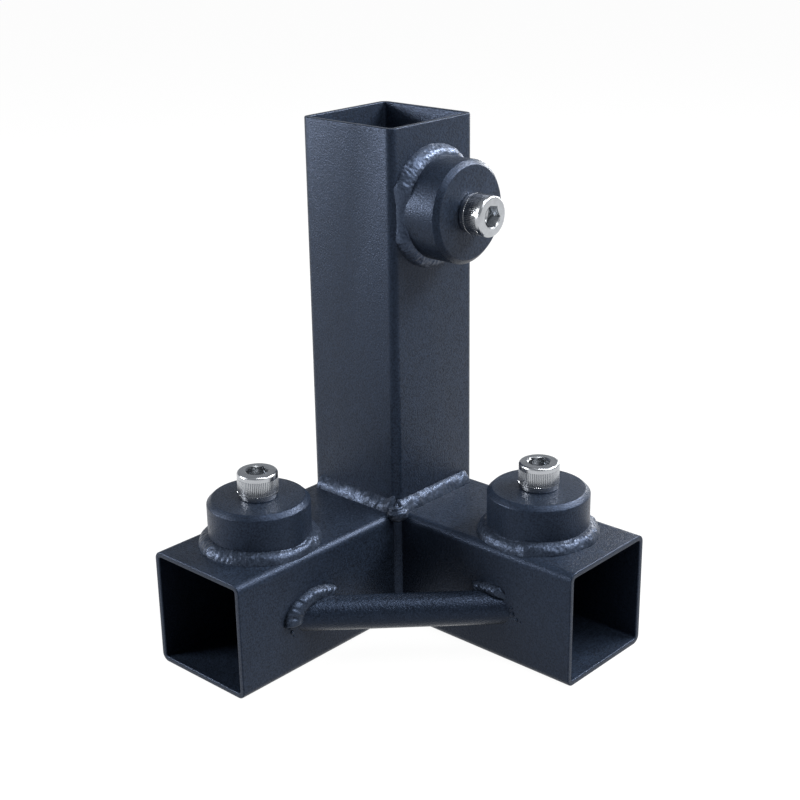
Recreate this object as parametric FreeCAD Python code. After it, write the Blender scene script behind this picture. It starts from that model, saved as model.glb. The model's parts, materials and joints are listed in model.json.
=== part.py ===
"""Three way corner connector: three square tube sockets at right angles, each with a clamp screw.

Millimetres, +Z up. The origin is the foot of the upright tube's axis, in the plane that the
connector stands on. The left arm runs along +X, the right arm along +Y and the upright along +Z.
"""
import FreeCAD, Part
import os
from math import cos, radians, sin, sqrt

V = FreeCAD.Vector
X_AXIS = V(1, 0, 0)
Y_AXIS = V(0, 1, 0)
Z_AXIS = V(0, 0, 1)

# Square tube stock: 2 1/4 inch, 12 gauge, which a 2 inch post slides into
TUBE_SIZE = 57.15
TUBE_WALL = 2.67
TUBE_INNER_CORNER = 1.33   # radius inside the corners
TUBE_RIM = 0.4             # chamfer of the cut ends
SEAM_HEIGHT = 0.4          # the tube's own welded seam, proud of one inner wall
SEAM_RADIUS = 1.0
SEAM_OFFSET = 20.0         # from the middle of that wall

# Lengths of the three sockets
UPRIGHT_HEIGHT = 242.5
ARM_LENGTH = 103.5         # from the upright's face to the mouth

# Turned bosses that carry the clamp screws
BOSS_MARGIN = 4.425        # between a boss and the sides of its tube, for 48.3 across
BOSS_HEIGHT = 22.2
BOSS_CHAMFER = 2.3
ARM_BOSS_FROM_MOUTH = 40.0
UPRIGHT_BOSS_FROM_MOUTH = 39.4

# Half inch socket head cap screws
SCREW_DIAMETER = 12.7
SCREW_LENGTH = 31.75       # under the head
THREAD_CLEARANCE = 0.05    # radial, between the screw and its bore
HEAD_DIAMETER = 19.05
HEAD_HEIGHT = 12.7
HEAD_TOP_CHAMFER = 1.1
HEX_ACROSS_FLATS = 9.525
HEX_DEPTH = 6.4

# Round brace bar between the arms
BRACE_DIAMETER = 16.0
BRACE_REACH = 58.4         # along each arm from the upright's face to the bar's axis
BRACE_AXIS_HEIGHT = 26.0

# Weld beads: leg is the size on each plate
BOSS_WELD_LEG = 4.7
TOP_WELD_LEG = 4.0
CORNER_WELD_LEG = 3.4
BRACE_WELD_LEG = 4.2
WELD_CROWN = 2.0           # how far a straight bead's centre lies inside both plates
WELD_FULLNESS = 0.62       # a ring bead's ridge, as a share of its leg; 0.5 would be flat
WELD_PENETRATION = 1.0     # a bead's section runs this far into both plates before it is cut
TOP_WELD_TAPER = 5.0       # length of the tapered outer end
TOP_WELD_TIP_LEG = 0.5
BLOB_HEIGHT = 4.4          # where the two top beads meet, over the arms' top faces
BLOB_FOOT_RADIUS = 6.2
BLOB_TOP_RADIUS = 2.6
SEAM_WELD_RADIUS = 2.4     # bead in the groove beside the upright's rounded corner
SEAM_WELD_INSET = V(1.0, 1.6, 0)
WELD_END_GAP = 0.5         # a top bead stops this far short of the tube's rounded edge

LEVEL = 0.01               # an edge that rises less than this lies level
ROOT_TWO = sqrt(2)         # the brace meets both arms at 45 degrees
OVERRUN = 1.0              # how far a cutting tool runs past what it cuts

HALF = TUBE_SIZE / 2
TUBE_CORNER = TUBE_INNER_CORNER + TUBE_WALL
FLAT_HALF = HALF - TUBE_CORNER
BOSS_RADIUS = HALF - BOSS_MARGIN
BRACE_RADIUS = BRACE_DIAMETER / 2
ARM_MOUTH = HALF + ARM_LENGTH
ARM_BOSS_AT = ARM_MOUTH - ARM_BOSS_FROM_MOUTH
UPRIGHT_BOSS_AT = UPRIGHT_HEIGHT - UPRIGHT_BOSS_FROM_MOUTH
BRACE_AT = HALF + BRACE_REACH
BORE_RADIUS = SCREW_DIAMETER / 2 + THREAD_CLEARANCE

QUARTER_TURN = FreeCAD.Rotation(Z_AXIS, 90)
# Each boss has a local frame: origin on the tube's face, X towards the tube's mouth, Z out along the screw
BOSS_FRAMES = {
    "left": FreeCAD.Placement(V(ARM_BOSS_AT, 0, TUBE_SIZE), FreeCAD.Rotation()),
    "right": FreeCAD.Placement(V(0, ARM_BOSS_AT, TUBE_SIZE), QUARTER_TURN),
    "upright": FreeCAD.Placement(V(0, HALF, UPRIGHT_BOSS_AT), FreeCAD.Rotation(Z_AXIS, X_AXIS, Y_AXIS)),
}
# A corner of each screw's hexagon, in degrees round the boss's own frame
HEX_ANGLES = {"left": 17, "right": 45, "upright": 22}


def placed(shape, placement):
    """Return a copy of the shape moved by the placement."""
    return shape.transformed(placement.toMatrix(), True)


def turned_to_right_arm(shape):
    """Turn what was made for the left arm a quarter turn about Z, onto the right arm."""
    return placed(shape, FreeCAD.Placement(V(0, 0, 0), QUARTER_TURN))


def edges_where(shape, test):
    """Edges whose bounding box passes the test."""
    return [edge for edge in shape.Edges if test(edge.BoundBox)]


def level_edges(shape, height):
    """Edges that lie level at this height."""
    return edges_where(shape, lambda box: box.ZLength < LEVEL and abs(box.ZMin - height) < LEVEL)


def square_prism(size, corner, length):
    """Rounded square bar along +Z, centred on the axis."""
    block = Part.makeBox(size, size, length, V(-size / 2, -size / 2, 0))
    return block.makeFillet(corner, edges_where(block, lambda box: box.ZLength > length / 2))


def with_rim(shape, height):
    """Break the outer and inner edges of a tube's cut end at this height."""
    return shape.makeChamfer(TUBE_RIM, level_edges(shape, height))


def seam_ridge(length):
    """The tube's own seam: a low ridge along the inner side of its -Y wall."""
    inner_face = -HALF + TUBE_WALL
    centre = V(-SEAM_OFFSET, inner_face + SEAM_HEIGHT - SEAM_RADIUS, 2 * TUBE_RIM)
    rod = Part.makeCylinder(SEAM_RADIUS, length - 4 * TUBE_RIM, centre, Z_AXIS)
    keep = Part.makeBox(TUBE_SIZE, HALF, length, V(-HALF, inner_face - TUBE_WALL / 2, 0))
    return rod.common(keep)


def socket_tube(length, both_ends_open):
    """Square tube along +Z with a softened mouth, and a softened foot if that end is open too."""
    outer = square_prism(TUBE_SIZE, TUBE_CORNER, length)
    inner = square_prism(TUBE_SIZE - 2 * TUBE_WALL, TUBE_INNER_CORNER, length)
    shape = with_rim(outer.cut(inner), length)
    if both_ends_open:
        shape = with_rim(shape, 0)
    return shape.fuse(seam_ridge(length)).removeSplitter()


def screw_hole(name):
    """Cylinder through the tube's wall, for one clamp screw."""
    hole = Part.makeCylinder(BORE_RADIUS, TUBE_WALL + 2 * OVERRUN, V(0, 0, -TUBE_WALL - OVERRUN), Z_AXIS)
    return placed(hole, BOSS_FRAMES[name])


def make_upright_tube():
    return socket_tube(UPRIGHT_HEIGHT, True).cut(screw_hole("upright"))


def arm_placement():
    """Lay a bar made along +Z down along +X, butted against the upright's face."""
    return FreeCAD.Placement(V(HALF, 0, HALF), FreeCAD.Rotation(Y_AXIS, 90))


def make_left_arm_tube():
    return placed(socket_tube(ARM_LENGTH, False), arm_placement()).cut(screw_hole("left"))


def make_right_arm_tube():
    return turned_to_right_arm(make_left_arm_tube())


def upright_block():
    """The upright's outside, filled, for cutting what is welded to it."""
    return square_prism(TUBE_SIZE, TUBE_CORNER, UPRIGHT_HEIGHT)


def left_arm_block():
    return placed(square_prism(TUBE_SIZE, TUBE_CORNER, ARM_LENGTH), arm_placement())


def right_arm_block():
    return turned_to_right_arm(left_arm_block())


def corner_groove():
    """The gap between the upright's rounded corner and the ends of both arms, which no bead fills."""
    width = HALF - FLAT_HALF
    return Part.makeBox(width, width, TUBE_SIZE, V(FLAT_HALF, FLAT_HALF, 0))


def tube_blocks():
    return [upright_block(), left_arm_block(), right_arm_block(), corner_groove()]


def make_boss(name):
    """Turned disc with a chamfered rim and a bore, seated on its tube's flat face."""
    top = BOSS_HEIGHT
    profile = Part.makePolygon([
        V(BORE_RADIUS, 0, 0), V(BOSS_RADIUS, 0, 0), V(BOSS_RADIUS, 0, top - BOSS_CHAMFER),
        V(BOSS_RADIUS - BOSS_CHAMFER, 0, top), V(BORE_RADIUS, 0, top), V(BORE_RADIUS, 0, 0)])
    return placed(Part.Face(profile).revolve(V(0, 0, 0), Z_AXIS, 360), BOSS_FRAMES[name])


def hex_socket(top, turn):
    """Hexagonal socket, cut down from the head's top."""
    floor = top - HEX_DEPTH
    corner = HEX_ACROSS_FLATS / sqrt(3)
    angles = [radians(turn + 60 * k) for k in range(7)]
    outline = Part.makePolygon([V(corner * cos(a), corner * sin(a), floor) for a in angles])
    return Part.Face(outline).extrude(V(0, 0, HEX_DEPTH))


def make_clamp_screw(name):
    """Socket head cap screw, seated on its boss, its tip just inside the socket."""
    seat = BOSS_HEIGHT
    top = seat + HEAD_HEIGHT
    tip = seat - SCREW_LENGTH
    head = HEAD_DIAMETER / 2
    shank = SCREW_DIAMETER / 2
    profile = Part.makePolygon([
        V(0, 0, tip), V(shank, 0, tip), V(shank, 0, seat), V(head, 0, seat), V(head, 0, top - HEAD_TOP_CHAMFER),
        V(head - HEAD_TOP_CHAMFER, 0, top), V(0, 0, top), V(0, 0, tip)])
    screw = Part.Face(profile).revolve(V(0, 0, 0), Z_AXIS, 360)
    return placed(screw.cut(hex_socket(top, HEX_ANGLES[name])), BOSS_FRAMES[name])


def make_brace_bar():
    """Round bar across the inner corner, its ends mitred flat against both arms."""
    past = BRACE_DIAMETER
    start = V(BRACE_AT + past, HALF - past, BRACE_AXIS_HEIGHT)
    end = V(HALF - past, BRACE_AT + past, BRACE_AXIS_HEIGHT)
    bar = Part.makeCylinder(BRACE_RADIUS, (end - start).Length, start, end - start)
    between = Part.makeBox(2 * BRACE_AT, 2 * BRACE_AT, TUBE_SIZE, V(HALF, HALF, 0))
    return bar.common(between)


def bead_radius(leg):
    """Radius of a straight bead whose centre is sunk in both plates, its toes a leg from their corner."""
    return sqrt((leg + WELD_CROWN) ** 2 + WELD_CROWN ** 2)


def bead_section(leg, reach):
    """Convex section of a ring bead: a toe, the ridge and the other toe, as (out, up) from the corner.

    Both toes run on by reach, into the plates that the bead is then cut to.
    """
    ridge = WELD_FULLNESS * leg
    run = leg + reach * (leg - ridge) / ridge
    return [(run, -reach), (ridge, ridge), (-reach, run)]


def make_boss_weld(name, boss):
    """Convex bead all round a boss.

    Its toe runs straight down over the tube's rounded edges and ends flush with the tube's sides.
    """
    ridge, inner_toe = [V(BOSS_RADIUS + out, 0, up)
                        for out, up in bead_section(BOSS_WELD_LEG, WELD_PENETRATION)[1:]]
    toe = V(BOSS_RADIUS + BOSS_WELD_LEG, 0, 0)
    low_toe = toe - V(0, 0, TUBE_CORNER)
    low_inside = V(inner_toe.x, 0, -TUBE_CORNER)
    outline = Part.makePolygon([low_toe, toe, ridge, inner_toe, low_inside, low_toe])
    ring = Part.Face(outline).revolve(V(0, 0, 0), Z_AXIS, 360)
    within = Part.makeBox(2 * TUBE_SIZE, TUBE_SIZE, TUBE_SIZE, V(-TUBE_SIZE, -HALF, -HALF))
    bead = placed(ring.common(within), BOSS_FRAMES[name])
    return bead.cut(tube_blocks() + [boss])


def top_bead(inner_end):
    """Bead that joins the left arm's top face to the upright, from its tapered outer end to inner_end."""
    radius = bead_radius(TOP_WELD_LEG)
    tip = V(HALF - WELD_CROWN, WELD_END_GAP - FLAT_HALF, TUBE_SIZE - WELD_CROWN)
    start = tip + V(0, TOP_WELD_TAPER, 0)
    taper = Part.makeCone(bead_radius(TOP_WELD_TIP_LEG), radius, TOP_WELD_TAPER, tip, Y_AXIS)
    return taper.fuse(Part.makeCylinder(radius, inner_end - start.y, start, Y_AXIS))


def make_left_top_weld():
    """The left arm's top bead, with the blob over the corner where the two top beads meet."""
    foot = V(HALF, HALF, TUBE_SIZE - TUBE_CORNER)
    blob = Part.makeCone(BLOB_FOOT_RADIUS, BLOB_TOP_RADIUS, TUBE_CORNER + BLOB_HEIGHT, foot, Z_AXIS)
    return top_bead(HALF).fuse(blob).cut(tube_blocks())


def make_right_top_weld(left_top_weld):
    """The right arm's top bead, run into the blob at the end of the left one."""
    bead = top_bead(FLAT_HALF).mirror(V(0, 0, 0), V(1, -1, 0))
    return bead.cut(tube_blocks() + [left_top_weld])


def make_corner_weld(top_welds):
    """Upright bead in the inner corner between the two arms."""
    radius = bead_radius(CORNER_WELD_LEG)
    inner = HALF - WELD_CROWN
    bead = Part.makeCylinder(radius, TUBE_SIZE - TUBE_CORNER, V(inner, inner, TUBE_CORNER / 2), Z_AXIS)
    return bead.cut(tube_blocks() + top_welds)


def brace_ring(out, up):
    """Slice, up from the left arm's face, of a round bar that is thicker than the brace by out."""
    radius = BRACE_RADIUS + out
    middle = V(BRACE_AT - up, HALF + up, BRACE_AXIS_HEIGHT)
    ellipse = Part.Ellipse(middle + V(ROOT_TWO * radius, 0, 0), middle + V(0, 0, radius), middle)
    return Part.Wire(ellipse.toShape())


def make_brace_weld(side, brace_bar):
    """Bead over the top half of the joint between the brace bar and one arm."""
    section = bead_section(BRACE_WELD_LEG, WELD_PENETRATION)
    ring = Part.makeLoft([brace_ring(out, up) for out, up in section], True, True)
    upper = Part.makeBox(2 * BRACE_AT, TUBE_SIZE, TUBE_SIZE, V(0, HALF, BRACE_AXIS_HEIGHT - WELD_CROWN))
    bead = ring.common(upper)
    if side == "right":
        bead = bead.mirror(V(0, 0, 0), V(1, -1, 0))
    return bead.cut(tube_blocks() + [brace_bar])


def make_back_weld(side, top_weld):
    """Upright bead in the groove where an arm's far side meets the upright's rounded corner."""
    centre = V(HALF, -HALF, 0) + V(-SEAM_WELD_INSET.x, SEAM_WELD_INSET.y, 0)
    height = TUBE_SIZE - 2 * TUBE_CORNER
    bead = Part.makeCylinder(SEAM_WELD_RADIUS, height, centre + V(0, 0, TUBE_CORNER), Z_AXIS)
    if side == "right":
        bead = bead.mirror(V(0, 0, 0), V(1, -1, 0))
    return bead.cut(tube_blocks() + [top_weld])


def build_parts():
    """Every piece of the connector, by node name."""
    parts = {
        "upright_tube": make_upright_tube(),
        "left_arm_tube": make_left_arm_tube(),
        "right_arm_tube": make_right_arm_tube(),
        "brace_bar": make_brace_bar(),
    }
    for name in BOSS_FRAMES:
        parts[name + "_boss"] = make_boss(name)
        parts[name + "_boss_weld"] = make_boss_weld(name, parts[name + "_boss"])
        parts[name + "_clamp_screw"] = make_clamp_screw(name)
    parts["left_top_weld"] = make_left_top_weld()
    parts["right_top_weld"] = make_right_top_weld(parts["left_top_weld"])
    parts["inner_corner_weld"] = make_corner_weld([parts["left_top_weld"], parts["right_top_weld"]])
    for side in ("left", "right"):
        parts[side + "_brace_weld"] = make_brace_weld(side, parts["brace_bar"])
        parts[side + "_back_weld"] = make_back_weld(side, parts[side + "_top_weld"])
    return parts


def main():
    os.makedirs("parts", exist_ok=True)
    for name, shape in build_parts().items():
        print(name, "solids", len(shape.Solids), "volume", round(shape.Volume), "valid", shape.isValid())
        shape.exportStep(os.path.join("parts", name + ".step"))


main()
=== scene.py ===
# %% [markdown]
# Three way corner connector.
# Three square steel tubes are welded together at right angles, so that posts slide into them and
# make the corner of a frame. A thick turned boss on each tube carries a clamp screw. Here the packed
# model gets smooth tubes, weld beads with ripples, a textured powder coat and bright screws.

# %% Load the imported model
import json
from math import atan2, cos, exp, hypot, pi, radians, sin, sqrt, tan
import bpy
from mathutils import Matrix, Vector, noise

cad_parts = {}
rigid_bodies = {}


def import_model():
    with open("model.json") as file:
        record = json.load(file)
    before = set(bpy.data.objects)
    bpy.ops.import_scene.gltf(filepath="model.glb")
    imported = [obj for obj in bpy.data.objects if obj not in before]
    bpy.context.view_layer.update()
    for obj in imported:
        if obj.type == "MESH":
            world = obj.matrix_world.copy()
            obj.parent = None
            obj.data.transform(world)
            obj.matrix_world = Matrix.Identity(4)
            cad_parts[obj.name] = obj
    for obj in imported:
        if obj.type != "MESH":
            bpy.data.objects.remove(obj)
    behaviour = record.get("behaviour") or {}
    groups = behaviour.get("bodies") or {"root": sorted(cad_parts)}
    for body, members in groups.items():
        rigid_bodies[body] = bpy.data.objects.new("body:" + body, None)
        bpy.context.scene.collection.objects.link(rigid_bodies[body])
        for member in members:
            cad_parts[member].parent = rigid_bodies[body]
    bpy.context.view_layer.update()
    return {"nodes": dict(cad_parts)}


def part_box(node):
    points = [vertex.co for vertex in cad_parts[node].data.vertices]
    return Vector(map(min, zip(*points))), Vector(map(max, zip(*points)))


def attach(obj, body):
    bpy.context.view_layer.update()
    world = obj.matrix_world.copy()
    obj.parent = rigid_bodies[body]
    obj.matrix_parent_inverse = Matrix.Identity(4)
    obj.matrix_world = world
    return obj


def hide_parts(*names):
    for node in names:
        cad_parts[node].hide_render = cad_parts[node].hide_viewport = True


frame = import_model()

# %% [markdown]
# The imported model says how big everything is, so each size that can be read from a node's box is
# read there. The few that a box can't show, such as the wall and the roundings, are written down in
# millimetres and turned to metres, which is what Blender works in here.

# %% Sizes
MM = 0.001
upright_low, upright_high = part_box("upright_tube")
arm_low, arm_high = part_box("left_arm_tube")
boss_low, boss_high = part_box("left_boss")
screw_low, screw_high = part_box("left_clamp_screw")
tube_size = upright_high.x - upright_low.x
half = tube_size / 2
upright_height = upright_high.z
arm_length = arm_high.x - arm_low.x
boss_radius = (boss_high.x - boss_low.x) / 2
boss_height = boss_high.z - boss_low.z
head_radius = (screw_high.x - screw_low.x) / 2
head_height = screw_high.z - boss_high.z
screw_reach = boss_high.z - screw_low.z
tube_wall = 2.67 * MM
tube_corner = 4.0 * MM
flat_half = half - tube_corner
bore_radius = 6.4 * MM
print("tube", round(tube_size / MM, 2), "arm", round(arm_length / MM, 1))
print("boss", round(2 * boss_radius / MM, 2), "screw", round(screw_reach / MM, 2))

# %% [markdown]
# Every boss is worked on in a frame of its own: the origin lies on the tube's face, X runs towards
# the tube's mouth and Z runs out along the screw. A matrix then carries what was made there to its
# place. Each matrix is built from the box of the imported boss.

# %% Where the three bosses sit
def frame_of(origin, x_axis, y_axis, z_axis):
    """Matrix whose columns are the three directions and the place of a local frame."""
    columns = [Vector(x_axis).to_4d(), Vector(y_axis).to_4d(), Vector(z_axis).to_4d()]
    for column in columns:
        column.w = 0
    return Matrix(columns + [Vector(origin).to_4d()]).transposed()


def middle(node):
    """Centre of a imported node's box."""
    low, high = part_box(node)
    return (low + high) / 2


X, Y, Z = Vector((1, 0, 0)), Vector((0, 1, 0)), Vector((0, 0, 1))
left_foot = Vector((middle("left_boss").x, 0, tube_size))
right_foot = Vector((0, middle("right_boss").y, tube_size))
upright_foot = Vector((0, half, middle("upright_boss").z))
boss_frames = {
    "left": frame_of(left_foot, X, Y, Z),
    "right": frame_of(right_foot, Y, -X, Z),
    "upright": frame_of(upright_foot, Z, X, Y),
}
print("bosses at", [tuple(round(v / MM, 1) for v in m.translation) for m in boss_frames.values()])

# %% [markdown]
# An operator works on whatever is selected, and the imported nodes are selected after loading. So
# before each one, a single piece is made active, and its vertices, edges or faces are picked by
# where they lie. That is the same as clicking on them, but it gives the same result every time.

# %% Picking by place
def only(piece):
    """Select this piece alone."""
    bpy.ops.object.select_all(action="DESELECT")
    piece.select_set(True)
    bpy.context.view_layer.objects.active = piece


def pick(piece, kind, test):
    """Open edit mode with only those items selected whose corners all pass the test."""
    only(piece)
    bpy.ops.object.mode_set(mode="EDIT")
    bpy.ops.mesh.select_mode(type=kind)
    bpy.ops.mesh.select_all(action="DESELECT")
    bpy.ops.object.mode_set(mode="OBJECT")
    mesh = piece.data
    places = [vertex.co.copy() for vertex in mesh.vertices]
    items = {"VERT": mesh.vertices, "EDGE": mesh.edges, "FACE": mesh.polygons}[kind]
    for item in items:
        corners = [item.index] if kind == "VERT" else item.vertices
        item.select = test([places[corner] for corner in corners])
    bpy.ops.object.mode_set(mode="EDIT")


def pick_all(piece):
    """Open edit mode with everything selected."""
    only(piece)
    bpy.ops.object.mode_set(mode="EDIT")
    bpy.ops.mesh.select_all(action="SELECT")


def close_edit():
    """Leave edit mode, which writes the edits into the mesh."""
    bpy.ops.object.mode_set(mode="OBJECT")


same_place = 0.02 * MM


def near(value, target):
    """Whether two coordinates are the same, but for rounding."""
    return abs(value - target) < same_place


def apply_modifier(piece, kind, **settings):
    """Add a modifier, set it and apply it."""
    only(piece)
    modifier = piece.modifiers.new(kind.title(), kind)
    for name, value in settings.items():
        setattr(modifier, name, value)
    bpy.ops.object.modifier_apply(modifier=modifier.name)


def cut_away(piece, tool):
    """Cut the tool's shape out of the piece and remove the tool."""
    apply_modifier(piece, "BOOLEAN", object=tool, operation="DIFFERENCE", solver="EXACT")
    bpy.data.objects.remove(tool)


def move_into(piece, place):
    """Carry a piece to its place, and keep the place in its mesh."""
    only(piece)
    piece.matrix_world = place
    bpy.ops.object.transform_apply(location=True, rotation=True, scale=True)


def copy_of(piece, name):
    """Copy a piece with a mesh of its own."""
    only(piece)
    bpy.ops.object.duplicate()
    twin = bpy.context.object
    twin.name = name
    return twin


# %% [markdown]
# Materials. One small function adds a node with its settings and links, and a second turns the hex
# colours, which are written as a screen shows them, into the linear values that light is worked out
# with.

# %% Node helper
def linear(hex_colour):
    """sRGB hex to linear RGBA."""
    values = [int(hex_colour[i:i + 2], 16) / 255 for i in (1, 3, 5)]
    return [v / 12.92 if v <= 0.04045 else ((v + 0.055) / 1.055) ** 2.4 for v in values] + [1]


def add_node(material, kind, links=None, **settings):
    """Add a node: settings fill its properties or sockets, links feed its sockets."""
    node = material.node_tree.nodes.new(kind)
    for name, value in settings.items():
        if hasattr(node, name):
            setattr(node, name, value)
        else:
            node.inputs[name.replace("_", " ")].default_value = value
    for socket, source in (links or {}).items():
        material.node_tree.links.new(source, node.inputs[socket])
    return node


def new_material(name):
    """Material with an empty node tree."""
    material = bpy.data.materials.new(name)
    material.use_nodes = True
    material.node_tree.nodes.clear()
    return material


# %% [markdown]
# Powder coat. The real coat is a black polyester powder with a fine sandy texture, sprayed on and
# baked at about 200 C. It flows a little as it melts, so it hides grinding marks and leaves grains
# about half a millimetre wide. To the eye that gives a dark, slightly blue grey that sparkles in
# small specks and softens every highlight. The grain is a noise of 0.8 mm, which is as fine as the
# render can show. It gives the bump, the specks and their shine, and a second, wider noise varies the
# colour as the film's thickness does. On the round bar the grains lie coarser and further apart. Over
# the weld beads the film runs thin, so they look smoother and paler. The ring bead on the upright
# gets a glossier copy of the bead coat whose colours are paler still, and that extra paleness is
# painted highlight.

# %% Powder coat
film_patch = 9 * MM


def powder_coat(name, grain, grain_height, roughness, thick_film, thin_film, gloss):
    """Baked powder: the width and height of its grains, its shine, and its colour thick and thin."""
    coat = new_material(name)
    place = add_node(coat, "ShaderNodeTexCoord").outputs["Object"]
    sand = add_node(coat, "ShaderNodeTexNoise", {"Vector": place},
                    Scale=1 / grain, Detail=3.0, Roughness=0.6)
    film = add_node(coat, "ShaderNodeTexNoise", {"Vector": place}, Scale=1 / film_patch, Detail=2.0)
    shade = add_node(coat, "ShaderNodeMix", {"Factor": film.outputs["Fac"]}, data_type="RGBA")
    shade.inputs["A"].default_value = linear(thick_film)
    shade.inputs["B"].default_value = linear(thin_film)
    grit = add_node(coat, "ShaderNodeMapRange", {"Value": sand.outputs["Fac"]})
    grit.inputs["From Min"].default_value = 0.33
    grit.inputs["From Max"].default_value = 0.67
    grit.inputs["To Min"].default_value = 0.15
    grit.inputs["To Max"].default_value = 1.9
    speckled = add_node(coat, "ShaderNodeVectorMath",
                        {0: shade.outputs["Result"], 1: grit.outputs["Result"]}, operation="MULTIPLY")
    speck = add_node(coat, "ShaderNodeMapRange", {"Value": sand.outputs["Fac"]})
    speck.inputs["From Min"].default_value = 0.35
    speck.inputs["From Max"].default_value = 0.7
    speck.inputs["To Min"].default_value = roughness + 0.12
    speck.inputs["To Max"].default_value = roughness - 0.1
    relief = add_node(coat, "ShaderNodeBump", {"Height": sand.outputs["Fac"]},
                      Strength=1.0, Distance=grain_height)
    shader = add_node(coat, "ShaderNodeBsdfPrincipled",
                      {"Base Color": speckled.outputs["Vector"], "Roughness": speck.outputs["Result"],
                       "Normal": relief.outputs["Normal"]}, IOR=1.5)
    shader.inputs["Specular IOR Level"].default_value = gloss
    shader.inputs["Specular Tint"].default_value = linear("#b7d0ff")
    add_node(coat, "ShaderNodeOutputMaterial", {"Surface": shader.outputs["BSDF"]})
    return coat


textured_coat = powder_coat("black_polyester_powder_coat_baked", 0.8 * MM, 0.17 * MM, 0.35,
                            "#151b24", "#1c2431", 0.31)
bar_coat = powder_coat("black_powder_coat_coarse_on_round_bar", 1.0 * MM, 0.3 * MM, 0.27,
                       "#151b24", "#1c2431", 0.33)
bead_coat = powder_coat("black_powder_coat_over_weld_bead", 0.8 * MM, 0.12 * MM, 0.36,
                        "#171c24", "#252c37", 0.46)
# A paler, glossier copy of the bead coat for the upright's ring bead: its gloss is the coat's own, and
# its paler colours are painted highlight.
painted_highlight_bead_coat = powder_coat("black_powder_coat_thin_on_bead_crest", 0.8 * MM, 0.1 * MM, 0.36,
                        "#1c222b", "#2c333f", 0.78)
print("materials:", [coat.name for coat in (textured_coat, bar_coat, bead_coat, painted_highlight_bead_coat)])

# %% [markdown]
# Stainless steel. The screws are cold headed from A2 stainless steel and their tops are turned, so
# faint rings run round the axis, and nothing covers the metal. It is bright, a little cool, and
# blurred along the turning. Noise stretched into rings would have to know each screw's axis, so each
# head reads its own copy of a ring pattern that a Mapping node centres on it. A wave texture makes a
# ring about every third of its size, here every 0.7 mm. Real turning is several times finer, which
# the render could not show.

# %% Stainless steel
ring_wave = 2.2 * MM
smudge_width = 3.0 * MM


def turned_stainless(name, place_matrix):
    """Bare stainless steel whose turning rings run round the axis of this place."""
    steel = new_material(name)
    here = place_matrix.inverted()
    place = add_node(steel, "ShaderNodeTexCoord").outputs["Object"]
    local = add_node(steel, "ShaderNodeMapping", {"Vector": place})
    local.inputs["Location"].default_value = here.translation
    local.inputs["Rotation"].default_value = here.to_euler()
    rings = add_node(steel, "ShaderNodeTexWave", {"Vector": local.outputs["Vector"]}, wave_type="RINGS",
                     rings_direction="Z", Scale=1 / ring_wave, Distortion=1.5, Detail=2.0)
    smudge = add_node(steel, "ShaderNodeTexNoise", {"Vector": place}, Scale=1 / smudge_width, Detail=3.0)
    dull = add_node(steel, "ShaderNodeMapRange", {"Value": smudge.outputs["Fac"]})
    dull.inputs["To Min"].default_value = 0.16
    dull.inputs["To Max"].default_value = 0.32
    tone = add_node(steel, "ShaderNodeMix", {"Factor": smudge.outputs["Fac"]}, data_type="RGBA")
    tone.inputs["A"].default_value = linear("#a2a5a9")
    tone.inputs["B"].default_value = linear("#bcbfc3")
    relief = add_node(steel, "ShaderNodeBump", {"Height": rings.outputs["Fac"]},
                      Strength=0.5, Distance=0.01 * MM)
    shader = add_node(steel, "ShaderNodeBsdfPrincipled",
                      {"Base Color": tone.outputs["Result"], "Roughness": dull.outputs["Result"],
                       "Normal": relief.outputs["Normal"]}, Metallic=1.0)
    add_node(steel, "ShaderNodeOutputMaterial", {"Surface": shader.outputs["BSDF"]})
    return steel


steels = {side: turned_stainless("turned_stainless_steel_" + side, place)
          for side, place in boss_frames.items()}
print("materials:", [steel.name for steel in steels.values()])

# %% [markdown]
# Every finished piece goes through the same last step. Its faces are shaded smooth up to an angle,
# so that roundings flow and real edges stay sharp, it gets its one finish, it is told which body of
# the imported model carries it, and the imported nodes that it stands for are hidden. One function
# does that, so no piece can miss a part of it.

# %% Finish a piece
def hand_over(piece, body, slot, material, *nodes, smooth=35):
    """Shade a piece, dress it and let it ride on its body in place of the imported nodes."""
    only(piece)
    bpy.ops.object.shade_smooth_by_angle(angle=radians(smooth))
    piece.data.materials.clear()
    piece.data.materials.append(material)
    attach(piece, body)
    if nodes:
        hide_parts(*nodes)
    print(piece.name, "faces", len(piece.data.polygons))


def coated(piece, *nodes, material=None, smooth=35):
    """Finish a piece of the weldment, which is powder coated all over."""
    hand_over(piece, "weldment", "powder_coated_steel", material or textured_coat, *nodes, smooth=smooth)


# %% [markdown]
# The tubes. A square tube is rolled from strip, so its corners are round and the strip's own weld
# runs down the inside of one wall. It could be two blocks, one cut from the other. It is made here
# from one cube with bevelled corners and its ends taken off, because Solidify then gives the wall
# the same thickness round the corners, as rolling does.

# %% A socket tube, standing on the origin
rim_radius = 0.55 * MM


def ring_depth(place):
    """How far a point of the square outline lies inside the tube's outer surface."""
    across, along = abs(place.x), abs(place.y)
    if across > flat_half and along > flat_half:
        return tube_corner - hypot(across - flat_half, along - flat_half)
    return half - max(across, along)


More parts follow.
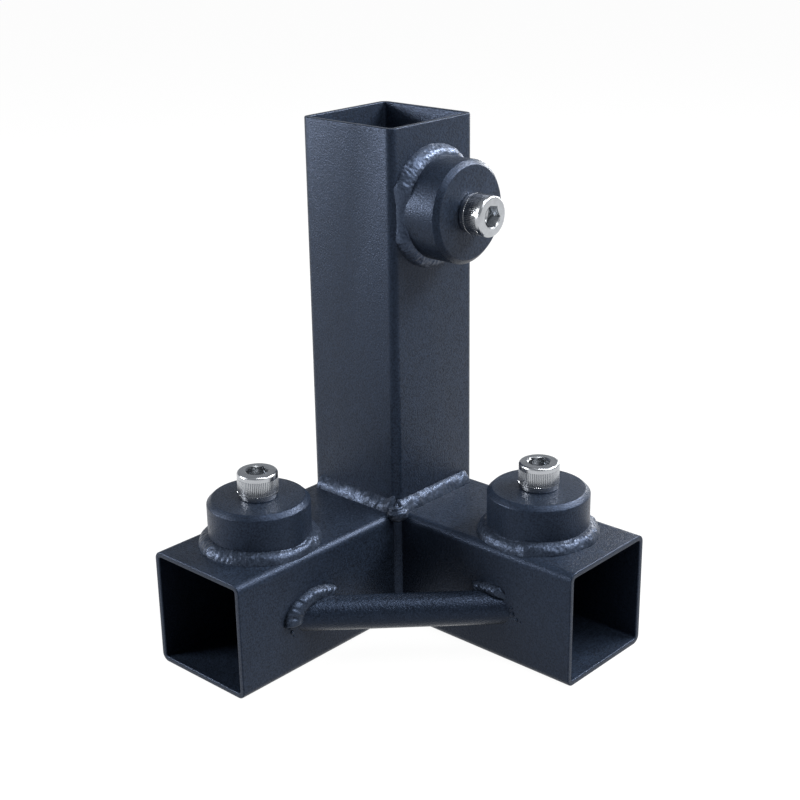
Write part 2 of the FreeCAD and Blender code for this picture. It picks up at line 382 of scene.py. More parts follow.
def socket_tube(name, length, open_ends):
    """Square tube along Z, with rounded rims at its open ends."""
    bpy.ops.mesh.primitive_cube_add(size=1, location=(0, 0, length / 2))
    tube = bpy.context.object
    tube.name = name
    tube.scale = (tube_size, tube_size, length)
    bpy.ops.object.transform_apply(location=True, rotation=True, scale=True)
    pick(tube, "EDGE", lambda ends: abs(ends[0].z - ends[1].z) > length / 2)
    bpy.ops.mesh.bevel(offset=tube_corner, segments=12, affect="EDGES")
    close_edit()
    for end in (0, length):
        pick(tube, "FACE", lambda corners: all(near(corner.z, end) for corner in corners))
        bpy.ops.mesh.delete(type="FACE")
        close_edit()
    apply_modifier(tube, "SOLIDIFY", thickness=tube_wall, offset=-1, use_even_offset=True)
    for end in open_ends:
        pick(tube, "EDGE", lambda ends: all(near(corner.z, end) for corner in ends)
             and near(ring_depth(ends[0]), 0) == near(ring_depth(ends[1]), 0))
        bpy.ops.mesh.bevel(offset=rim_radius, segments=4, affect="EDGES")
        close_edit()
    return tube


# %% [markdown]
# The strip's seam shows as a thin raised line inside. Three cuts across the inner wall give an edge
# to pull, which is moved out by the height of the seam.

# %% The seam inside
seam_offset = -20 * MM
seam_width = 1.2 * MM
seam_height = 0.4 * MM


def raise_seam(tube):
    """Pull the strip's seam out of the inner wall."""
    inner = -half + tube_wall
    for cut in (seam_offset - seam_width, seam_offset, seam_offset + seam_width):
        pick(tube, "FACE", lambda corners: all(near(corner.y, inner) for corner in corners))
        bpy.ops.mesh.bisect(plane_co=(cut, 0, 0), plane_no=(1, 0, 0))
        close_edit()
    pick(tube, "VERT", lambda corner: near(corner[0].x, seam_offset) and near(corner[0].y, inner))
    bpy.ops.transform.translate(value=(0, seam_height, 0))
    close_edit()


# %% [markdown]
# The upright is open at both ends, and the screw's hole goes through its wall. The real one has a
# small nick in its top rim, as handling leaves it. A ball is stretched, sunk into the rim there and
# cut away.

# %% The upright, with the nick in its rim
drill_sides = 96


def bore_screw_hole(tube, place):
    """Take the screw's hole out of the wall, along the boss's own axis."""
    bpy.ops.mesh.primitive_cylinder_add(vertices=drill_sides, radius=bore_radius, depth=4 * tube_wall)
    drill = bpy.context.object
    move_into(drill, place)
    cut_away(tube, drill)


upright_tube = socket_tube("upright_socket_tube", upright_height, (0, upright_height))
raise_seam(upright_tube)
bore_screw_hole(upright_tube, boss_frames["upright"])
nick_place = (half + 0.2 * MM, 6.8 * MM, upright_height + 0.1 * MM)
bpy.ops.mesh.primitive_uv_sphere_add(segments=24, ring_count=12, radius=1, location=nick_place)
nick = bpy.context.object
nick.scale = (0.9 * MM, 2.2 * MM, 0.7 * MM)
bpy.ops.object.transform_apply(location=True, rotation=True, scale=True)
cut_away(upright_tube, nick)
coated(upright_tube, "upright_tube")

# %% [markdown]
# The arms are the same tube, laid down. The left arm is built once, bored and laid along X, and the
# right arm is its copy, turned a quarter about the upright.

# %% The two arms
left_arm = socket_tube("left_arm_socket_tube", arm_length, (arm_length,))
raise_seam(left_arm)
lay_down = frame_of((half, 0, half), -Z, Y, X)
move_into(left_arm, lay_down)
bore_screw_hole(left_arm, boss_frames["left"])
right_arm = copy_of(left_arm, "right_arm_socket_tube")
quarter_turn = Matrix.Rotation(radians(90), 4, "Z")
move_into(right_arm, quarter_turn)
coated(left_arm, "left_arm_tube")
coated(right_arm, "right_arm_tube")

# %% [markdown]
# The bosses. A boss is turned on a lathe from round bar and bored for its screw. Its half section is
# a plain rectangle with its corners taken off, so it is drawn as that and spun round the axis, which
# is what the lathe does. Each corner is a flat chamfer whose two edges are rounded by the coat.

# %% A turned boss
boss_chamfer = 2.3 * MM
coat_rounding = 0.35 * MM
bore_lead = 0.8 * MM
lathe_steps = 192


def spin_round(piece, steps):
    """Spin an outline in the XZ plane round Z, and close the ring."""
    pick_all(piece)
    bpy.ops.mesh.delete(type="ONLY_FACE")
    close_edit()
    pick_all(piece)
    bpy.ops.mesh.spin(steps=steps, angle=2 * pi, center=(0, 0, 0), axis=(0, 0, 1))
    bpy.ops.mesh.select_all(action="SELECT")
    bpy.ops.mesh.remove_doubles(threshold=same_place / 10)
    bpy.ops.mesh.normals_make_consistent(inside=False)
    close_edit()


def section_plate(name, inner, outer, low, high):
    """Flat rectangle in the XZ plane, from the inner to the outer radius."""
    bpy.ops.mesh.primitive_plane_add(size=1, rotation=(radians(90), 0, 0),
                                     location=((inner + outer) / 2, 0, (low + high) / 2))
    plate = bpy.context.object
    plate.name = name
    plate.scale = (outer - inner, high - low, 1)
    bpy.ops.object.transform_apply(location=True, rotation=True, scale=True)
    return plate


def take_off_corner(plate, x, z, size, segments=1):
    """Bevel one corner of a flat plate."""
    pick(plate, "VERT", lambda corner: near(corner[0].x, x) and near(corner[0].z, z))
    bpy.ops.mesh.bevel(offset=size, segments=segments, affect="VERTICES")
    close_edit()


turned_boss = section_plate("turned_boss", bore_radius, boss_radius, 0, boss_height)
take_off_corner(turned_boss, boss_radius, boss_height, boss_chamfer)
take_off_corner(turned_boss, boss_radius, boss_height - boss_chamfer, coat_rounding, 3)
take_off_corner(turned_boss, boss_radius - boss_chamfer, boss_height, coat_rounding, 3)
take_off_corner(turned_boss, bore_radius, boss_height, bore_lead)
spin_round(turned_boss, lathe_steps)
for side, place in boss_frames.items():
    boss = copy_of(turned_boss, side + "_turned_boss")
    move_into(boss, place)
    coated(boss, side + "_boss", smooth=30)
bpy.data.objects.remove(turned_boss)

# %% [markdown]
# The brace bar is a piece of round bar whose two ends are cut at 45 degrees to sit flat on the arms.
# A long cylinder is laid between the arms and cut by the planes of both inner faces.

# %% The brace bar
brace_low, brace_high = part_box("brace_bar")
brace_radius = (brace_high.z - brace_low.z) / 2
brace_height = (brace_high.z + brace_low.z) / 2
brace_at = brace_high.x - sqrt(2) * brace_radius
bar_length = sqrt(2) * (brace_at - half) + 6 * brace_radius
bar_sides = 128
bpy.ops.mesh.primitive_cylinder_add(vertices=bar_sides, radius=brace_radius, depth=bar_length)
brace = bpy.context.object
brace.name = "brace_round_bar"
bar_middle = (brace_at + half) / 2
diagonal = Vector((-1, 1, 0)).normalized()
move_into(brace, frame_of((bar_middle, bar_middle, brace_height), Z, diagonal.cross(Z), diagonal))
for face in (X, Y):
    pick_all(brace)
    bpy.ops.mesh.bisect(plane_co=half * face, plane_no=face, clear_inner=True, use_fill=True)
    close_edit()
coated(brace, "brace_bar", material=bar_coat, smooth=50)
print("brace bar", round(2 * brace_radius / MM, 1), "thick,", round(brace_at / MM, 1), "along each arm")

# %% [markdown]
# The weld beads. A bead is a row of small puddles of molten steel that froze one after another, so
# it has a rounded section, fine crescents across it, and it swells where the hand slowed down. Its
# section starts as a disc sunk in the corner between two plates and cut off inside them. What shows
# is an arc. The ripples and swellings are then moved into the arc vertex by vertex, as with a sculpt
# brush, because no modifier knows which way the torch travelled.

# %% Section of a bead
hidden = 0.8 * MM
arc_middle = radians(45)
half_arc = radians(33)


def bead_disc(name, corner_x, corner_z, leg, sink, points):
    """Disc in the XZ plane whose arc reaches a leg out along both plates, cut off below their faces."""
    radius = sqrt((leg + sink) ** 2 + sink ** 2)
    centre = Vector((corner_x - sink, 0, corner_z - sink))
    bpy.ops.mesh.primitive_circle_add(vertices=points, radius=radius, fill_type="NGON",
                                      location=centre, rotation=(radians(90), 0, 0))
    disc = bpy.context.object
    disc.name = name
    bpy.ops.object.transform_apply(location=True, rotation=True, scale=True)
    wall_cut, floor_cut = Vector((corner_x - hidden, 0, 0)), Vector((0, 0, corner_z - hidden))
    for inside, face in ((wall_cut, X), (floor_cut, Z)):
        pick_all(disc)
        bpy.ops.mesh.bisect(plane_co=inside, plane_no=face, clear_inner=True)
        close_edit()
    return disc, centre, radius


# %% [markdown]
# The relief of a bead is a height for each point of its arc. It is worked out in millimetres from two
# numbers: the distance that the torch has travelled and the place across the bead, from -1 at one toe
# to 1 at the other. Crescents come first, bowed because the middle of a puddle freezes last, and then
# broad swellings. Both fade towards the toes, where the real bead runs thin. Fine roughness goes on
# top, all over.

# %% Relief of a bead
def smooth_step(value):
    """Rise from 0 to 1 without a corner."""
    value = min(max(value, 0), 1)
    return value * value * (3 - 2 * value)


def bead_relief(travel, across, seed, pitch=2.2, ripple=0.09, blotch=0.5, grit=0.24):
    """Height in millimetres to add at a distance along the bead and from -1 to 1 across it."""
    crown = 1 - 0.75 * across * across
    bow = travel / pitch + 1.1 * across * across + 0.5 * noise.noise(Vector((travel / 6, seed, 0)))
    crescents = ripple * (abs(sin(pi * bow)) - 0.6)
    broad = blotch * noise.noise(Vector((travel / 4.2, 0.9 * across, seed)))
    fine = grit * noise.noise(Vector((travel / 1.3, 2.4 * across, seed + 9)))
    return crown * (crescents + broad) + fine


# %% [markdown]
# The ring beads run all round the bosses. A boss is nearly as wide as its tube, so at the two sides
# the bead has no flat face left to lie on, and it runs down over the rounded edges. Each ring has
# its own swellings, and a puddle with a small crater where the weld started and stopped.

# %% Swellings and puddles of a ring bead
def turn_between(around, degrees):
    """Shortest turn from an angle in degrees to this one, in radians."""
    return (around - radians(degrees) + pi) % (2 * pi) - pi


def ring_lift(around, across, seed, swells, puddles):
    """Height in millimetres: the bead's relief, its swellings, and each puddle with its crater."""
    lift = bead_relief(around * boss_radius / MM, across, seed)
    for angle, width, height in swells:
        lift += height * exp(-(turn_between(around, angle) / radians(width)) ** 2)
    for angle, where, size, height in puddles:
        along = turn_between(around, angle) * (boss_radius / MM + 3)
        away = hypot(along, (across - where) * 3.2 / 0.75) / size
        spread = exp(-away ** 2)
        crater = 0.4 * exp(-(away / 0.3) ** 2)
        rings = 0.13 * cos(13 * away) * spread
        lift += (height - 0.85 * lift) * spread - height * (crater - rings)
    return lift


# %% Ring beads
ring_leg = 4.7 * MM
ring_sink = 1.4 * MM
ring_steps = 640
ring_points = 72
past_the_tube = 0.25 * MM


def edge_drop(sideways):
    """How far the tube's surface has fallen at this distance from its middle."""
    over = min(max(abs(sideways) - flat_half, 0), 0.995 * tube_corner)
    return tube_corner - sqrt(tube_corner ** 2 - over ** 2)


def sculpt_ring(ring, centre, radius, narrow, **details):
    """Work the relief into a plain ring, squeeze it at the tube's sides and let it follow the edge."""
    for vertex in ring.data.vertices:
        x, y, z = vertex.co
        around, out = atan2(y, x), hypot(x, y)
        slope = atan2(z - centre.z, out - centre.x)
        on_arc = hypot(z - centre.z, out - centre.x) > 0.985 * radius and z > -0.7 * MM
        if on_arc:
            push = ring_lift(around, (slope - arc_middle) / half_arc, **details) * MM
            out += push * cos(slope)
            z += push * sin(slope)
        sideways = abs(sin(around)) * (boss_radius + ring_leg / 2)
        squeeze = 1 - narrow * smooth_step((sideways - flat_half + 1 * MM) / (3.5 * MM))
        if out > boss_radius:
            out = boss_radius + (out - boss_radius) * squeeze
            z = z * (0.25 + 0.75 * squeeze) if z > 0 else z
        toe = smooth_step((out - boss_radius - 0.3 * MM) / (0.8 * ring_leg)) if z > 0 else 1
        x, y = out * cos(around), out * sin(around)
        z -= toe * edge_drop(y)
        reach = half + past_the_tube
        vertex.co = (x, min(max(y, -reach), reach), z)


# Angles are in degrees from the tube's mouth, sizes and heights in millimetres.
# A swelling is (angle, width, height), a puddle (angle, place across, size, height).
ring_details = {
    "left": {
        "seed": 3, "narrow": 0.35,
        "swells": [(40, 30, 0.3), (75, 22, -0.2), (330, 25, 0.25)],
        "puddles": [(354, -0.1, 6.0, 1.0), (62, 0.0, 2.4, 0.4)]},
    "right": {
        "seed": 11, "narrow": 0.35,
        "swells": [(310, 26, 0.35), (270, 20, 0.2), (20, 24, 0.35)],
        "puddles": [(296, 0.0, 2.6, 0.8), (6, -0.1, 3.2, 1.1), (22, 0.1, 2.6, 0.8)]},
    "upright": {
        "seed": 23, "narrow": 0.68,
        "swells": [(52, 34, 0.9), (15, 25, 0.3), (300, 30, -0.5)],
        "puddles": [(335, 0.2, 3.2, 0.7)]},
}
for side, details in ring_details.items():
    name = side + "_boss_ring_bead"
    ring, centre, radius = bead_disc(name, boss_radius, 0, ring_leg, ring_sink, ring_points)
    spin_round(ring, ring_steps)
    sculpt_ring(ring, centre, radius, **details)
    move_into(ring, boss_frames[side])
    # The upright's ring bead takes the paler coat, whose paler colour is painted highlight.
    film = painted_highlight_bead_coat if side == "upright" else bead_coat
    coated(ring, side + "_boss_weld", material=film, smooth=60)

# %% [markdown]
# The straight beads join each arm's top face to the upright, and a small one fills the corner between
# the arms. They have the same section, drawn out along the joint, cut into short slices and then
# worked over like the rings. The ends taper where the torch came in, and where it left, the last
# puddle of the left bead stands up as a lump. A bead may climb further up the wall than it runs out.

# %% Straight beads
bead_sink = 2.0 * MM
bead_points = 64
slice_length = 0.28 * MM


def straight_bead(name, leg, length, seed, tapers, place, relief, climb=1.0, lump=0):
    """Bead along +Y in the corner between a wall on -X and a floor on -Z, from y = 0 to its length."""
    bead, centre, radius = bead_disc(name, 0, 0, leg, bead_sink, bead_points)
    pick_all(bead)
    bpy.ops.mesh.extrude_region_move(TRANSFORM_OT_translate={"value": (0, length, 0)})
    close_edit()
    pick(bead, "EDGE", lambda ends: abs(ends[0].y - ends[1].y) > length / 2)
    bpy.ops.mesh.subdivide(number_cuts=int(length / slice_length))
    close_edit()
    for vertex in bead.data.vertices:
        x, y, z = vertex.co
        slope = atan2(z - centre.z, x - centre.x)
        if hypot(z - centre.z, x - centre.x) > 0.97 * radius:
            across = (slope - arc_middle) / half_arc
            ends = min(smooth_step(y / tapers[0] + 0.15), smooth_step((length - y) / tapers[1] + 0.15))
            last = lump * exp(-((length - y) / MM / 2.2 - 1.2) ** 2) * (1 + across)
            lift = bead_relief(y / MM, across, seed, **relief) + 0.15 + last
            push = lift * MM * ends - (1 - ends) * 0.42 * radius
            x += push * cos(slope)
            z += push * sin(slope)
        vertex.co = (x, y, z * climb if z > 0 else z)
    pick_all(bead)
    bpy.ops.mesh.normals_make_consistent(inside=False)
    close_edit()
    move_into(bead, place)
    return bead


# %% The two top beads
top_leg = 4.0 * MM
top_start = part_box("left_top_weld")[0].y
top_length = half - top_start
coarse = {"pitch": 2.4, "ripple": 0.08, "blotch": 0.55, "grit": 0.22}
left_place = frame_of((half, top_start, tube_size), X, Y, Z)
left_top = straight_bead("left_arm_top_bead", top_leg, top_length, 31, (1.5 * MM, 3 * MM),
                         left_place, coarse, climb=1.4, lump=0.7)
coated(left_top, "left_top_weld", material=bead_coat, smooth=60)
right_place = frame_of((top_start, half, tube_size), Y, X, Z)
right_top = straight_bead("right_arm_top_bead", top_leg, top_length, 47, (3 * MM, 1 * MM),
                          right_place, coarse, climb=1.4)
coated(right_top, "right_top_weld", material=bead_coat, smooth=60)

# %% The bead down the inner corner
corner_leg = 2.8 * MM
corner_length = tube_size - 2 * MM
calm = {"pitch": 3.0, "ripple": 0.03, "blotch": 0.25, "grit": 0.05}
corner_place = frame_of((half, half, 0.5 * MM), X, Z, Y)
corner_bead = straight_bead("inner_corner_bead", corner_leg, corner_length, 5, (4 * MM, 4 * MM),
                            corner_place, calm)
coated(corner_bead, "inner_corner_weld", smooth=60)

# %% [markdown]
# Where the two top beads meet over the inner corner, the last puddle froze as a round blob. It is a
# ball, pressed flat and given one turn of a swirl.

# %% The blob over the inner corner
blob_radius = 5.4 * MM
blob_height = 4.1 * MM
bpy.ops.mesh.primitive_uv_sphere_add(segments=64, ring_count=40, radius=1)
blob = bpy.context.object
blob.name = "corner_bead_blob"
for vertex in blob.data.vertices:
    x, y, z = vertex.co
    swirl = 0.12 * cos(atan2(y, x) + 11 * hypot(x, y))
    bump = 1 + 0.1 * noise.noise(vertex.co * 2.2) + swirl * max(z, 0)
    vertex.co = (blob_radius * x * bump, blob_radius * y * bump, blob_height * z * bump)
move_into(blob, Matrix.Translation((half + 0.4 * MM, half + 0.4 * MM, tube_size - 0.2 * MM)))
coated(blob, material=bead_coat, smooth=60)

# %% [markdown]
# The brace's beads lie over the top of each mitred end. The joint there is an ellipse, because a
# round bar is cut at 45 degrees, so the bead starts as a ring and is stretched into that ellipse. Its
# lower part thins out into the bar, and what lies inside the arm's wall is cut away. Both beads are
# made on the left arm, and the right one is then mirrored over.

# %% Brace beads
brace_core = brace_radius + 1.5 * MM
mm_per_radian = 12
brace_relief = {"pitch": 2.4, "ripple": 0.3, "blotch": 0.8, "grit": 0.25}


def brace_bead(name, seed, first, last, fade, thick, pits=()):
    """Half ring on the left arm's inner face, from the first to the last angle of the ellipse."""
    bpy.ops.mesh.primitive_torus_add(major_segments=320, minor_segments=28,
                                     major_radius=brace_core, minor_radius=thick)
    ring = bpy.context.object
    ring.name = name
    for vertex in ring.data.vertices:
        x, y, z = vertex.co
        around, out = atan2(-y, x), hypot(x, y)
        slope = atan2(z, out - brace_core)
        across = max(-1.2, min(1.2, (slope - arc_middle) / radians(60)))
        ends = min(smooth_step((around - radians(first)) / radians(fade)),
                   smooth_step((radians(last) - around) / radians(16)))
        lift = bead_relief(around * mm_per_radian, across, seed, **brace_relief) * MM
        for angle, where, size in pits:
            along = (around - radians(angle)) * mm_per_radian
            away = hypot(along, (slope - radians(where)) * thick / MM) / size
            lift -= 0.9 * size * MM * exp(-away ** 2)
        keep = 0.15 + 0.85 * ends
        bulge = (thick + lift) * keep
        out = brace_core - (1 - keep) * 1.2 * MM + bulge * cos(slope)
        z = bulge * sin(slope) - (1 - keep) * 1.5 * MM
        vertex.co = (sqrt(2) * out * cos(around), -out * sin(around), z)
    move_into(ring, frame_of((brace_at, half, brace_height), X, -Z, Y))
    pick_all(ring)
    bpy.ops.mesh.bisect(plane_co=(0, half - hidden, 0), plane_no=(0, 1, 0), clear_inner=True,
                        use_fill=True)
    close_edit()
    return ring


left_pits = [(22, 55, 1.1), (-4, 40, 1.0)]
left_brace_bead = brace_bead("left_brace_end_bead", 61, -12, 152, 16, 3.9 * MM, left_pits)
right_brace_bead = brace_bead("right_brace_end_bead", 83, 36, 140, 40, 2.8 * MM)
mirror = Matrix(((0, 1, 0, 0), (1, 0, 0, 0), (0, 0, 1, 0), (0, 0, 0, 1)))
move_into(right_brace_bead, mirror)
pick_all(right_brace_bead)
bpy.ops.mesh.normals_make_consistent(inside=False)
close_edit()
coated(left_brace_bead, "left_brace_weld", material=bead_coat, smooth=60)
coated(right_brace_bead, "right_brace_weld", material=bead_coat, smooth=60)

# %% [markdown]
# Molten steel spits while it is welded, and a few drops freeze on the arms beside the brace. They
# are balls, pressed flat against the face and made uneven, and the coat runs over them.

# %% Spatter beside the brace
def spatter(name, drops, place):
    """Frozen drops on a face: each one's place in millimetres on the face, and its radius."""
    for across, up, size in drops:
        bpy.ops.mesh.primitive_uv_sphere_add(segments=20, ring_count=12, radius=1)
        for vertex in bpy.context.object.data.vertices:
            x, y, z = vertex.co * (1 + 0.3 * noise.noise(1.7 * vertex.co + Vector((across, up, 0))))
            vertex.co = Vector((across + size * x, up + size * y, 0.7 * size * z)) * MM
        bpy.context.object.name = name
    bpy.ops.object.select_all(action="DESELECT")
    for piece in bpy.data.objects:
        if piece.name.startswith(name):
            piece.select_set(True)
            bpy.context.view_layer.objects.active = piece
    bpy.ops.object.join()
    joined = bpy.context.object
    joined.name = name
    move_into(joined, place)
    pick_all(joined)
    bpy.ops.mesh.normals_make_consistent(inside=False)
    close_edit()
    coated(joined, smooth=60)


left_drops = [(14.2, -4.0, 1.0), (12.9, -6.4, 0.7), (15.6, -1.6, 0.6)]
spatter("left_brace_spatter", left_drops, frame_of((brace_at, half, brace_height), X, Z, Y))
right_drops = [(12.6, 0.6, 1.3), (15.0, -1.4, 0.9), (11.9, 3.6, 1.0), (17.4, -2.0, 0.6)]
spatter("right_brace_spatter", right_drops, frame_of((half, brace_at, brace_height), Y, Z, X))

# %% [markdown]
# The beads at the back lie in narrow grooves between the arms and the upright's rounded corner. Little
# of them shows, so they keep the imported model's own shape and only get the coat.

# %% The beads at the back
for side in ("left", "right"):
    back_weld = frame["nodes"][side + "_back_weld"]
    for index in range(len(back_weld.data.materials)):
        back_weld.data.materials[index] = bead_coat

# %% [markdown]
# The clamp screws. A socket head cap screw has a straight knurl round its head for the fingers, a
# plain band under it, a rounded top edge, and a hexagon that is punched in over a drilled hole. The
# head starts as a round bar with four sides to each tooth, and every fourth line is pulled in to make
# a groove.

# %% Screw head with its knurl
teeth = 68
band_height = 2.4 * MM
band_radius = 0.965 * head_radius
knurl_low = 2.9 * MM
knurl_high = head_height - 2.7 * MM
knurl_end = 0.3 * MM
knurl_depth = 0.34 * MM
top_rounding = 1.3 * MM
foot_rounding = 0.6 * MM


def screw_head(name):
    """Head of the screw, seated on the origin, still without its hexagon."""
    bpy.ops.mesh.primitive_cylinder_add(vertices=4 * teeth, radius=head_radius, depth=head_height,
                                        location=(0, 0, head_height / 2))
    head = bpy.context.object
    head.name = name
    bpy.ops.object.transform_apply(location=True, rotation=True, scale=True)
    for level in (band_height, knurl_low, knurl_low + knurl_end, knurl_high - knurl_end, knurl_high):
        pick_all(head)
        bpy.ops.mesh.bisect(plane_co=(0, 0, level), plane_no=(0, 0, 1))
        close_edit()

    def in_groove(corner):
        place = corner[0]
        line = round(atan2(place.y, place.x) / (2 * pi) * 4 * teeth) % 4
        return line == 0 and knurl_low + knurl_end / 3 < place.z < knurl_high - knurl_end / 3

    pick(head, "VERT", in_groove)
    inward = 1 - knurl_depth / head_radius
    bpy.ops.transform.resize(value=(inward, inward, 1), center_override=(0, 0, 0))
    close_edit()
    pick(head, "EDGE", lambda ends: all(near(corner.z, head_height) for corner in ends))
    bpy.ops.mesh.bevel(offset=top_rounding, segments=6, affect="EDGES")
    close_edit()
    pick(head, "VERT", lambda corner: corner[0].z < band_height + knurl_end / 3)
    inward = band_radius / head_radius
    bpy.ops.transform.resize(value=(inward, inward, 1), center_override=(0, 0, 0))
    close_edit()
    pick(head, "EDGE", lambda ends: all(near(corner.z, 0) for corner in ends))
    bpy.ops.mesh.bevel(offset=foot_rounding, segments=4, affect="EDGES")
    close_edit()
    return head


# %% [markdown]
# The hexagon is cut with three tools, as the real one is made with three: a six sided punch, a wide
# flat cone for the countersink at its mouth, and a drill whose point leaves a cone in the floor. Each
# tool reaches a little past the surface that it goes in through, so that no thin skin is left.

# %% The hexagon
hex_flats = 9.525 * MM
hex_depth = 6.4 * MM
countersink = 5.6 * MM
drill_point = radians(59)
drill_radius = 0.97 * hex_flats / 2
overshoot = 1 * MM


def punch_hexagon(head):
    """Cut the hexagon, its countersink and the drill's point out of the head."""
    corner = hex_flats / sqrt(3)
    bpy.ops.mesh.primitive_cylinder_add(vertices=6, radius=corner, depth=hex_depth + overshoot,
                                        location=(0, 0, head_height + (overshoot - hex_depth) / 2),
                                        rotation=(0, 0, radians(30)))
    cut_away(head, bpy.context.object)
    mouth = countersink + overshoot * sqrt(3)
    cone_depth = mouth / sqrt(3)
    bpy.ops.mesh.primitive_cone_add(vertices=drill_sides, radius1=0, radius2=mouth, depth=cone_depth,
                                    location=(0, 0, head_height + overshoot - cone_depth / 2))
    cut_away(head, bpy.context.object)
    point = drill_radius / tan(drill_point)
    middle_height = head_height - hex_depth + 0.2 * point - 0.6 * point
    bpy.ops.mesh.primitive_cone_add(vertices=drill_sides, radius1=0, radius2=drill_radius * 1.2,
                                    depth=1.2 * point, location=(0, 0, middle_height))
    cut_away(head, bpy.context.object)


# %% [markdown]
# The shank is threaded, 13 turns to the inch. One tooth of the thread is drawn as a plate and the
# Screw modifier winds it down the axis. The turns overlap a plain core, whose end is chamfered.

# %% The threaded shank
pitch = 25.4 / 13 * MM
screw_radius = 6.35 * MM
thread_depth = 1.1 * MM
tip_chamfer = 1.2 * MM
crest_share = 0.07
root_share = 0.47
root_overlap = 0.2 * MM


def threaded_shank(name):
    """Wound thread and plain core, as two pieces that hang down from the origin."""
    core = screw_radius - thread_depth
    bpy.ops.mesh.primitive_plane_add(size=1, rotation=(radians(90), 0, 0), location=(0, 0, 0))
    tooth = bpy.context.object
    tooth.name = name
    bpy.ops.object.transform_apply(location=True, rotation=True, scale=True)
    for vertex in tooth.data.vertices:
        outer = vertex.co.x > 0
        side = 1 if vertex.co.z > 0 else -1
        out = screw_radius if outer else core - root_overlap
        vertex.co = (out, 0, side * (crest_share if outer else root_share) * pitch)
    turns = int(screw_reach / pitch) + 1
    pick_all(tooth)
    bpy.ops.mesh.delete(type="ONLY_FACE")
    close_edit()
    apply_modifier(tooth, "SCREW", angle=2 * pi, screw_offset=-pitch, iterations=turns, steps=48,
                   render_steps=48, use_merge_vertices=False, use_smooth_shade=False)
    for level, keep in ((0, -1), (-screw_reach + 0.5 * tip_chamfer, 1)):
        pick_all(tooth)
        bpy.ops.mesh.bisect(plane_co=(0, 0, level), plane_no=(0, 0, keep), clear_inner=True,
                            use_fill=True)
        close_edit()
    bpy.ops.mesh.primitive_cylinder_add(vertices=drill_sides, radius=core, depth=screw_reach,
                                        location=(0, 0, -screw_reach / 2))
    rod = bpy.context.object
    bpy.ops.object.transform_apply(location=True, rotation=True, scale=True)
    pick(rod, "EDGE", lambda ends: all(near(corner.z, -screw_reach) for corner in ends))
    bpy.ops.mesh.bevel(offset=0.6 * tip_chamfer, segments=1, affect="EDGES")
    close_edit()
    return tooth, rod


# %% [markdown]
# Head, thread and core are made once and copied for each screw. The copies are joined into one piece
# and seated on their boss. A screw stops at any angle when it is tight, so each hexagon is turned as
# it is in the photograph.

# %% Put the three screws in place
hexagon_turn = {"left": 17, "right": 45, "upright": 22}
plain_head = screw_head("clamp_screw_head")
punch_hexagon(plain_head)
thread, rod = threaded_shank("clamp_screw_thread")
for side, place in boss_frames.items():
    parts = [copy_of(part, side + "_" + part.name) for part in (plain_head, thread, rod)]
    bpy.ops.object.select_all(action="DESELECT")
    for part in parts:
        part.select_set(True)
    bpy.context.view_layer.objects.active = parts[0]
    bpy.ops.object.join()
    screw = bpy.context.object
    screw.name = side + "_socket_head_clamp_screw"
    tight_at = Matrix.Rotation(radians(hexagon_turn[side]), 4, "Z")
    seat = Matrix.Translation((0, 0, boss_height)) @ tight_at
    move_into(screw, place @ seat)
    hand_over(screw, side + "_screw", "stainless_steel", steels[side], side + "_clamp_screw", smooth=28)
for spare in (plain_head, thread, rod):
    bpy.data.objects.remove(spare)

# %% [markdown]
# The studio. A pale floor runs far past the picture and turns up at its far edge, so it is the whole
# background. It is white to whoever looks at it or at its reflection, but it throws little light
# back, or it would wash out the dark coat from below.

# %% Floor
floor_size = 12
floor_edge_height = 0.9


def seen_rays(owner):
    """1 for rays that show the background, straight, mirrored or refracted, and 0 for falling light."""
    path = add_node(owner, "ShaderNodeLightPath").outputs
    seen = add_node(owner, "ShaderNodeMath", {0: path["Is Camera Ray"], 1: path["Is Glossy Ray"]},
                    operation="ADD", use_clamp=True)
    through = add_node(owner, "ShaderNodeMath", {0: seen.outputs[0], 1: path["Is Transmission Ray"]},
                       operation="ADD", use_clamp=True)
    return through.outputs[0]


bpy.ops.mesh.primitive_plane_add(size=floor_size, location=(0, 0, 0))
floor = bpy.context.object
floor.name = "studio_floor"
pick(floor, "EDGE", lambda ends: True)
bpy.ops.mesh.extrude_edges_move(TRANSFORM_OT_translate={"value": (0, 0, floor_edge_height)})
close_edit()
white = new_material("matt_white_studio_floor")
shown_floor = add_node(white, "ShaderNodeMath", {0: seen_rays(white)}, operation="MULTIPLY")
shown_floor.inputs[1].default_value = 0.97
paper = add_node(white, "ShaderNodeBsdfDiffuse")
paper.inputs["Color"].default_value = linear("#4c4c4c")
glow = add_node(white, "ShaderNodeEmission", {"Strength": shown_floor.outputs[0]})
both = add_node(white, "ShaderNodeAddShader", {0: paper.outputs[0], 1: glow.outputs[0]})
add_node(white, "ShaderNodeOutputMaterial", {"Surface": both.outputs[0]})
floor.data.materials.append(white)
print("floor", floor_size, "m wide, with an edge of", floor_edge_height, "m")

# %% [markdown]
# Soft lamps stand on the left, low, and on the right, high, with a strip overhead and one behind, and
# none stands beside the camera. That is why the edge that points at the camera stays the darkest
# while chamfers and rounded edges shine. The world adds a dim, even light, and shows brighter where
# it is seen or mirrored.

# %% Lamps and world
lamp_target = Vector((0.03, 0.03, 0.1))
lamp_distance = 1.2


def soft_box(name, direction, width, height, watts):
    """Rectangular lamp that faces the object, from a direction, with its size in metres."""
    aim = Vector(direction).normalized()
    bpy.ops.object.light_add(type="AREA", location=lamp_target + lamp_distance * aim)
    lamp = bpy.context.object
    lamp.name = name
    lamp.rotation_euler = aim.to_track_quat("Z", "Y").to_euler()
    lamp.data.shape = "RECTANGLE"
    lamp.data.size = width
    lamp.data.size_y = height
    lamp.data.energy = watts
    print(name, watts, "W")


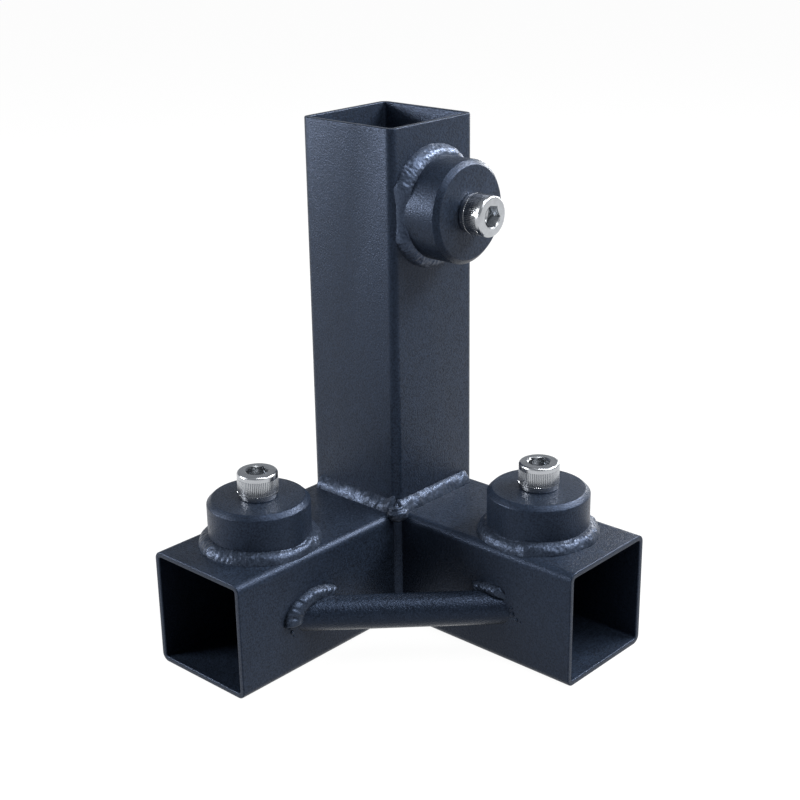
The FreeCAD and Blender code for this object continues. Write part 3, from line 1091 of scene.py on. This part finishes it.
soft_box("left_soft_box", (0.72, -0.65, 0.25), 0.5, 0.2, 14)
soft_box("left_high_lamp", (0.66, -0.59, 0.6), 0.5, 0.3, 2)
soft_box("right_soft_box", (-0.5, 0.55, 0.67), 0.4, 0.3, 11)
soft_box("right_rim_lamp", (-0.71, 0.33, 0.62), 0.28, 0.28, 14)
soft_box("right_side_lamp", (-0.18, 0.8, 0.57), 0.4, 0.3, 2.5)
soft_box("back_strip_lamp", (-0.96, -0.14, 0.24), 0.4, 0.2, 4)
soft_box("top_strip_lamp", (0, 0.37, 0.93), 0.2, 0.9, 9)
world = bpy.data.worlds.new("dim_studio")
bpy.context.scene.world = world
world.use_nodes = True
room = world.node_tree.nodes["Background"]
room.inputs["Color"].default_value = linear("#eef2f8")
shown_room = add_node(world, "ShaderNodeMath", {0: seen_rays(world)}, operation="MULTIPLY_ADD")
shown_room.inputs[1].default_value = 0.38
shown_room.inputs[2].default_value = 0.03
world.node_tree.links.new(shown_room.outputs[0], room.inputs["Strength"])
bpy.context.scene.view_settings.view_transform = "Standard"

# %% [markdown]
# The camera stands where the photograph was taken from. Its angles and its distance come from the
# straight edges of the tubes, which were matched to a pinhole camera. The distances are in widths of
# the tube, and the focal length is in pixels of a picture 800 wide.

# %% Camera
focal_length = 1488.45
picture_width = 800
sensor_width = 36
turn, rise, tilt = radians(132.5558), radians(20.4455), radians(-0.8937)
back = Vector((sin(turn) * cos(rise), -cos(turn) * cos(rise), sin(rise)))
flat_right = Z.cross(back).normalized()
flat_up = back.cross(flat_right)
right = cos(tilt) * flat_right + sin(tilt) * flat_up
up = cos(tilt) * flat_up - sin(tilt) * flat_right
distance, aside, above = 13.6329 * tube_size, 0.0416 * tube_size, 1.6418 * tube_size
bpy.ops.object.camera_add()
camera = bpy.context.object
camera.matrix_world = frame_of(aside * right + above * up + distance * back, right, up, back)
camera.data.sensor_width = sensor_width
camera.data.lens = focal_length / picture_width * sensor_width
camera.data.clip_end = 100
bpy.context.scene.camera = camera
print("camera", [round(v, 4) for v in camera.location], "lens", round(camera.data.lens, 2))
